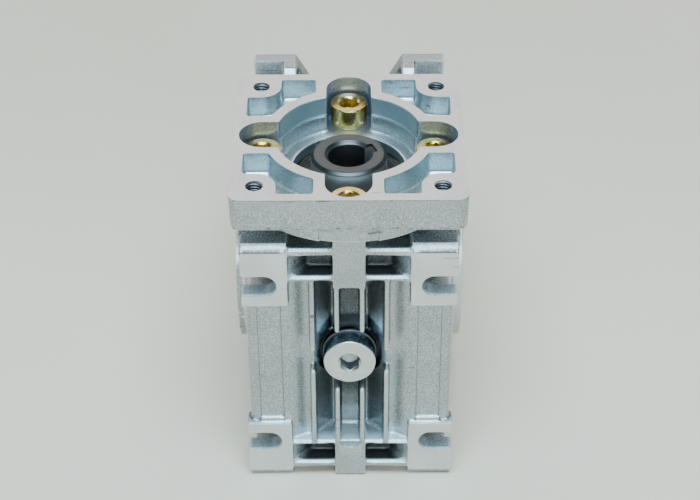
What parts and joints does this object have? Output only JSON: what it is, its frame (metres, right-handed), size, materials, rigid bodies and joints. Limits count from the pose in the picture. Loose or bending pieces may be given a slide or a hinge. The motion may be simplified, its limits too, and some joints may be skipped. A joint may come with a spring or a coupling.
{
  "type": "worm gearbox",
  "caption": "Right-angle worm reducer: ribbed die-cast housing with slotted feet, square motor flange, hollow input shaft, hollow output shaft and hex oil plug.",
  "frame": {"origin": "centre of the output shaft, on its axis, half way between its two ends", "axes": "+X along the output shaft, +Z along the worm towards the motor flange, +Y from the worm to the wheel"},
  "size_m": [0.063, 0.1, 0.0962],
  "materials": {
    "cast_aluminium": "die-cast aluminium, blasted, fine grain; machined faces smoother",
    "yellow_zinc": "yellow passivated zinc plating, iridescent",
    "bright_zinc": "bright zinc plating",
    "turned_steel": "turned steel, light oil",
    "bearing_steel": "ground bearing steel",
    "spring_steel": "dark phosphated spring steel",
    "bronze": "cast and hobbed bronze",
    "copper": "soft copper sealing ring, tinned",
    "black_rubber": "black nitrile rubber"
  },
  "bodies": {
    "housing": {"housing": "cast_aluminium", "side_cover": "cast_aluminium", "side_cover_o_ring": "black_rubber", "side_cover_screws": "yellow_zinc", "motor_flange": "cast_aluminium", "motor_flange_screws": "yellow_zinc", "input_seal": "black_rubber", "input_seal_spring": "spring_steel", "input_circlip": "spring_steel", "rear_circlip": "spring_steel", "rear_cap": "black_rubber", "left_seal": "black_rubber", "left_seal_spring": "spring_steel", "right_seal": "black_rubber", "right_seal_spring": "spring_steel", "oil_plug": "bright_zinc", "oil_plug_washer": "copper", "input_bearing_outer_race": "bearing_steel", "rear_bearing_outer_race": "bearing_steel", "left_bearing_outer_race": "bearing_steel", "right_bearing_outer_race": "bearing_steel"},
    "worm": {"worm_shaft": "turned_steel", "input_bearing_inner_race": "bearing_steel", "rear_bearing_inner_race": "bearing_steel"},
    "wheel": {"wheel_hub": "turned_steel", "wheel_rim": "bronze", "left_bearing_inner_race": "bearing_steel", "right_bearing_inner_race": "bearing_steel"},
    "input_balls": {"input_bearing_balls": "bearing_steel", "input_bearing_cage": "bronze"},
    "rear_balls": {"rear_bearing_balls": "bearing_steel", "rear_bearing_cage": "bronze"},
    "left_balls": {"left_bearing_balls": "bearing_steel", "left_bearing_cage": "bronze"},
    "right_balls": {"right_bearing_balls": "bearing_steel", "right_bearing_cage": "bronze"}
  },
  "joints": [
    {"name": "worm_spin", "type": "hinge", "parent": "housing", "child": "worm", "pos_m": [0, -0.03, 0], "axis": [0, 0, 1], "continuous": true},
    {"name": "wheel_spin", "type": "hinge", "parent": "housing", "child": "wheel", "pos_m": [0, 0, 0], "axis": [1, 0, 0], "continuous": true},
    {"name": "input_balls_spin", "type": "hinge", "parent": "housing", "child": "input_balls", "pos_m": [0, -0.03, 0], "axis": [0, 0, 1], "continuous": true},
    {"name": "rear_balls_spin", "type": "hinge", "parent": "housing", "child": "rear_balls", "pos_m": [0, -0.03, 0], "axis": [0, 0, 1], "continuous": true},
    {"name": "left_balls_spin", "type": "hinge", "parent": "housing", "child": "left_balls", "pos_m": [0, 0, 0], "axis": [1, 0, 0], "continuous": true},
    {"name": "right_balls_spin", "type": "hinge", "parent": "housing", "child": "right_balls", "pos_m": [0, 0, 0], "axis": [1, 0, 0], "continuous": true}
  ],
  "couplings": [
    {"joint": "wheel_spin", "follows": "worm_spin", "ratio": 0.033333},
    {"joint": "input_balls_spin", "follows": "worm_spin", "ratio": 0.41228},
    {"joint": "rear_balls_spin", "follows": "worm_spin", "ratio": 0.36477},
    {"joint": "left_balls_spin", "follows": "worm_spin", "ratio": 0.013542},
    {"joint": "right_balls_spin", "follows": "worm_spin", "ratio": 0.013542}
  ]
}
